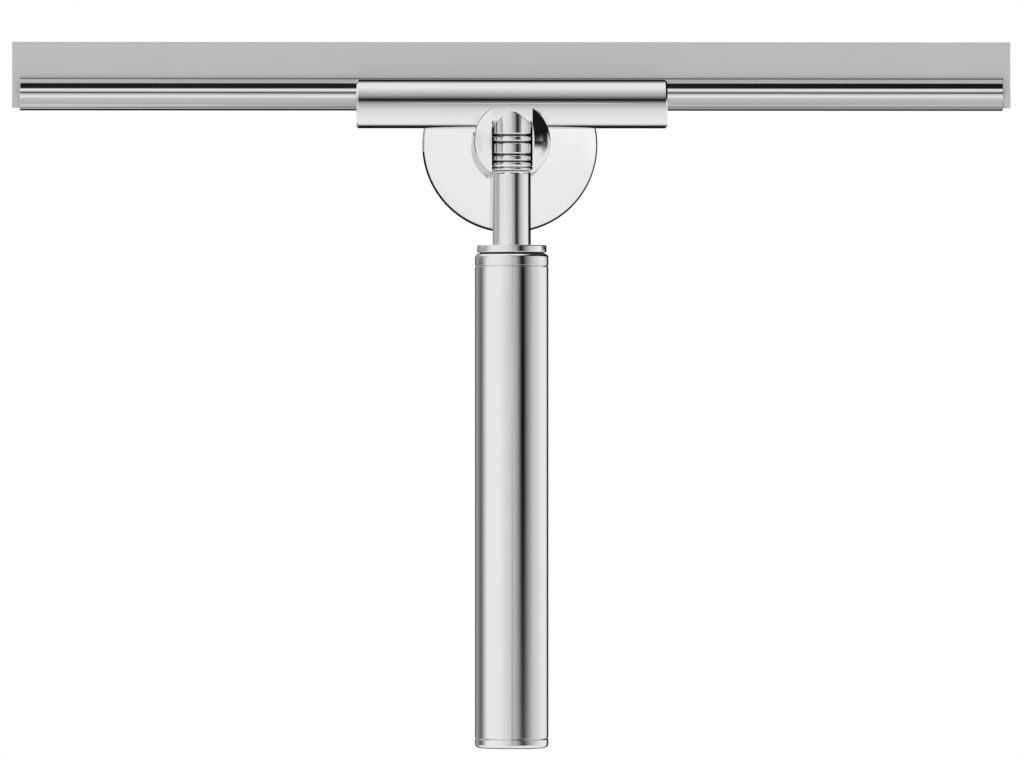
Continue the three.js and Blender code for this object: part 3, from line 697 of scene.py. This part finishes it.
# ---------------------------------------------------------------------------
# Head bar: a solid round bar across the neck, with a groove milled along its top
# that grips the rail, and a small chamfer at each end; chrome plated.
# ---------------------------------------------------------------------------
MOUTH_HALF = lip_out + 0.25
groove_shift = np.array((RAIL_Y - HEAD_Y, RAIL_Z - HEAD_Z))
groove_right = np.array([(MOUTH_HALF, 5.5), (3.8, 4.6), (3.8, 1.9), (3.45, 1.5), (3.45, -2.4),
                         (2.9, -2.9)])
groove = np.concatenate([groove_right, (groove_right * mirror)[::-1]]) + groove_shift
bar_turn = np.linspace(math.acos((groove_shift[0] - MOUTH_HALF) / HEAD_R),
                       2 * math.pi + math.acos((groove_shift[0] + MOUTH_HALF) / HEAD_R), 240)
bar_arc = HEAD_R * np.stack([np.cos(bar_turn), np.sin(bar_turn)], 1)
bar = drawn("head_bar_round", np.concatenate([bar_arc, groove]), head_low[0], head_high[0],
            [(0.6, 0), (0.55, 0.03), (0.05, 0.53), (0, 0.62), (0, 0.7)], (HEAD_Y, HEAD_Z))
true_normals(bar, [round_wall(HEAD_R, (0, HEAD_Y, HEAD_Z), 0)])
bar.visible_glossy = False  # its reflection would cross the flat rosette
fit_piece(bar, "squeegee", "chrome", chrome, "head_bar")

# ---------------------------------------------------------------------------
# Neck: a sleeve turned with rings and coped to the head bar, a thin washer and a
# plain tube, drawn up against the bar by the spindle inside; chrome plated.
# ---------------------------------------------------------------------------
BORE = 3.2
SLEEVE_BOTTOM = sleeve_low[2] - HEAD_Z
GROOVE_DEPTH = 0.75
GROOVES = [(1.75, 2.2), (4.05, 4.6), (8.25, 8.8), (10.6, 11.2)]
RING_SOFT = 0.45
sleeve_rows = [(BORE, 0, 0.05), (SLEEVE_R, 0, 0.8)]
for low, high in GROOVES:
    sleeve_rows += [(SLEEVE_R, low, RING_SOFT), (SLEEVE_R - GROOVE_DEPTH, low, 0.1),
                    (SLEEVE_R - GROOVE_DEPTH, high, 0.1), (SLEEVE_R, high, RING_SOFT)]
SLEEVE_PLAIN = 13  # over its lower end; past this height it is coped, and the line stops short of it
sleeve_rows += [(SLEEVE_R, SLEEVE_PLAIN, 0.05), (BORE, SLEEVE_PLAIN, 0.05)]
sleeve_line = softened(sleeve_rows)[:-per_corner]
sleeve_line = sleeve_line[sleeve_line[:, 1] <= SLEEVE_PLAIN - 0.5]
segments = 288
turn = np.linspace(0, 2 * math.pi, segments, endpoint=False)


def cope(r):
    """Height under the head bar's axis at which a circle of radius r meets the bar: -sqrt(R^2 - y^2)."""
    return -np.sqrt((HEAD_R + 0.04) ** 2 - (r * np.sin(turn)) ** 2)


rows_r = [np.full(segments, r) for r in sleeve_line[:, 0]]
rows_z = [np.full(segments, z + SLEEVE_BOTTOM) for z in sleeve_line[:, 1]]
SEAM = 0.4  # rounding of the coped edge
top_start = SLEEVE_BOTTOM + 12
for share_up in (0.0, 0.05, 0.5, 0.95, 1.0):
    rows_r.append(np.full(segments, SLEEVE_R))
    rows_z.append(top_start + (cope(SLEEVE_R) - SEAM - 0.05 - top_start) * share_up)
for a in np.linspace(0, math.pi / 2, 5):
    rows_r.append(np.full(segments, SLEEVE_R - SEAM * (1 - math.cos(a))))
    rows_z.append(cope(SLEEVE_R) - SEAM + SEAM * math.sin(a))
rows_r.append(np.full(segments, BORE))
rows_z.append(cope(BORE))
grid_r, grid_z = np.array(rows_r), np.array(rows_z)
sleeve_points = np.stack([grid_r * np.cos(turn), grid_r * np.sin(turn) + HEAD_Y, grid_z + HEAD_Z], -1)
sleeve = mesh_piece("neck_ring_sleeve", sleeve_points.reshape(-1, 3), quads(len(grid_r), segments))
# The sleeve's grooves get painted shade in their colour, darkest at the groove floors.
fit_piece(sleeve, "squeegee", "chrome", chrome_plate("chrome_grooved_painted_shade", groove=(
    HEAD_Y, SLEEVE_R - GROOVE_DEPTH, SLEEVE_R - 0.3)), "neck_sleeve")


def turned_from(name, node, rows, body="squeegee", steps=5):
    """A turned piece on the handle's axis from rows (r, height above the node's lowest point, radius)."""
    low, _ = span(node)
    outline = softened(rows, steps) + np.array((0, low[2]))
    piece = turned(name, outline, (0, HEAD_Y, 0), segments=256)
    fit_piece(piece, body, "chrome", chrome, node)
    return piece


washer_low, washer_high = span("neck_washer")
WASHER_R, WASHER_H = washer_high[0], washer_high[2] - washer_low[2]
turned_from("neck_thin_ring", "neck_washer", [
    (BORE, 0, 0.05), (WASHER_R, 0, 0.3), (WASHER_R, WASHER_H, 0.3), (BORE, WASHER_H, 0.05)])
neck_low, neck_high = span("neck_tube")
NECK_R, NECK_H = neck_high[0], neck_high[2] - neck_low[2]
turned_from("neck_plain_tube", "neck_tube", [
    (BORE, 0, 0.05), (NECK_R, 0, 0.1), (NECK_R, NECK_H, 1.1), (BORE, NECK_H, 0.05)], steps=8)

# ---------------------------------------------------------------------------
# Handle: a collar, a top cap, a long tube and a bottom cap, all turned and chrome
# plated; the caps' spigots sit in the tube, and fine V lines show where they meet.
# ---------------------------------------------------------------------------
collar_low, collar_high = span("handle_collar")
COLLAR_R, COLLAR_H = collar_high[0], collar_high[2] - collar_low[2]
turned_from("handle_neck_collar", "handle_collar", [
    (BORE, 0, 0.05), (COLLAR_R, 0, 0.25), (COLLAR_R, COLLAR_H, 0.3), (BORE, COLLAR_H, 0.05)])
top_low, top_high = span("handle_top_cap")
HANDLE_R, TOP_H = top_high[0], top_high[2] - top_low[2]
TUBE_BORE, SPIGOT_R, SPIGOT_H, RING_SEAT_R = 11.1, 11, 11, 9.5
V_LINE = 0.3
turned_from("handle_upper_cap", "handle_top_cap", [
    (3, 0, 0.05), (SPIGOT_R - 0.6, 0, 0.1), (SPIGOT_R, 0.6, 0.1), (SPIGOT_R, 4.8, 0.1),
    (RING_SEAT_R, 4.8, 0.1), (RING_SEAT_R, 7, 0.1), (SPIGOT_R, 7, 0.1), (SPIGOT_R, SPIGOT_H, 0.05),
    (HANDLE_R - V_LINE, SPIGOT_H, 0.04),
    (HANDLE_R, SPIGOT_H + V_LINE, 0.06), (HANDLE_R, TOP_H - 1, 0.5), (HANDLE_R - 0.5, TOP_H - 0.45, 0.5),
    (HANDLE_R - 1.6, TOP_H, 0.3), (3, TOP_H, 0.05)])
tube_low, tube_high = span("handle_tube")
TUBE_H = tube_high[2] - tube_low[2]
turned_from("handle_long_tube", "handle_tube", [
    (TUBE_BORE, 0, 0.05), (HANDLE_R - V_LINE, 0, 0.04), (HANDLE_R, V_LINE, 0.06),
    (HANDLE_R, TUBE_H - V_LINE, 0.06), (HANDLE_R - V_LINE, TUBE_H, 0.04), (TUBE_BORE, TUBE_H, 0.05)])
end_low, end_high = span("handle_bottom_cap")
END_H = end_high[2] - end_low[2]
CAP_H = END_H - SPIGOT_H
turned_from("handle_lower_cap", "handle_bottom_cap", [
    (0, 0, 0.05), (HANDLE_R - 1.2, 0, 0.5), (HANDLE_R - 0.35, 0.35, 0.5), (HANDLE_R, 1.1, 0.4),
    (HANDLE_R, CAP_H - V_LINE, 0.06), (HANDLE_R - V_LINE, CAP_H, 0.04), (SPIGOT_R, CAP_H, 0.05),
    (SPIGOT_R, CAP_H + 4, 0.1), (RING_SEAT_R, CAP_H + 4, 0.1), (RING_SEAT_R, CAP_H + 6.2, 0.1),
    (SPIGOT_R, CAP_H + 6.2, 0.1), (SPIGOT_R, END_H - 0.6, 0.1), (SPIGOT_R - 0.6, END_H, 0.1),
    (SPIGOT_R - 3, END_H, 0.1), (SPIGOT_R - 3, CAP_H + 1.5, 0.1), (0, CAP_H + 1.5, 0.05)])

# ---------------------------------------------------------------------------
# Small parts: stainless plate, screws, pin, spindle and washers, brass nut and
# pad, black O-rings and seal, and the grey plastic pads in the saddle.
# ---------------------------------------------------------------------------


def small_metal(name, colour, rough):
    """Plain machined metal: the same grain and clouding as the matt skin, on a metallic shader."""
    finish = matt_skin(name, colour, rough)
    finish.node_tree.nodes["Principled BSDF"].inputs["Metallic"].default_value = 1.0
    return finish


SMALL_PARTS = [
    (small_metal("stainless_steel", (0.62, 0.62, 0.63), 0.34),
     ["wall_plate", "rosette_set_screw", "post_screw", "post_lock_washer", "post_pin", "clamp_spindle",
      "flat_washer", "spring_washer"]),
    (small_metal("turned_brass", (0.72, 0.56, 0.27), 0.3), ["clamp_pad", "spindle_nut"]),
    (matt_skin("black_seal_rubber", (0.02, 0.02, 0.02), 0.6), ["collar_seal", "top_o_ring", "bottom_o_ring"]),
    (matt_skin("grey_pad_plastic", (0.34, 0.35, 0.36), 0.45), ["saddle_pad_left", "saddle_pad_right"]),
]
for finish, names in SMALL_PARTS:
    for node in names:
        nodes[node].data.materials.clear()
        nodes[node].data.materials.append(finish)
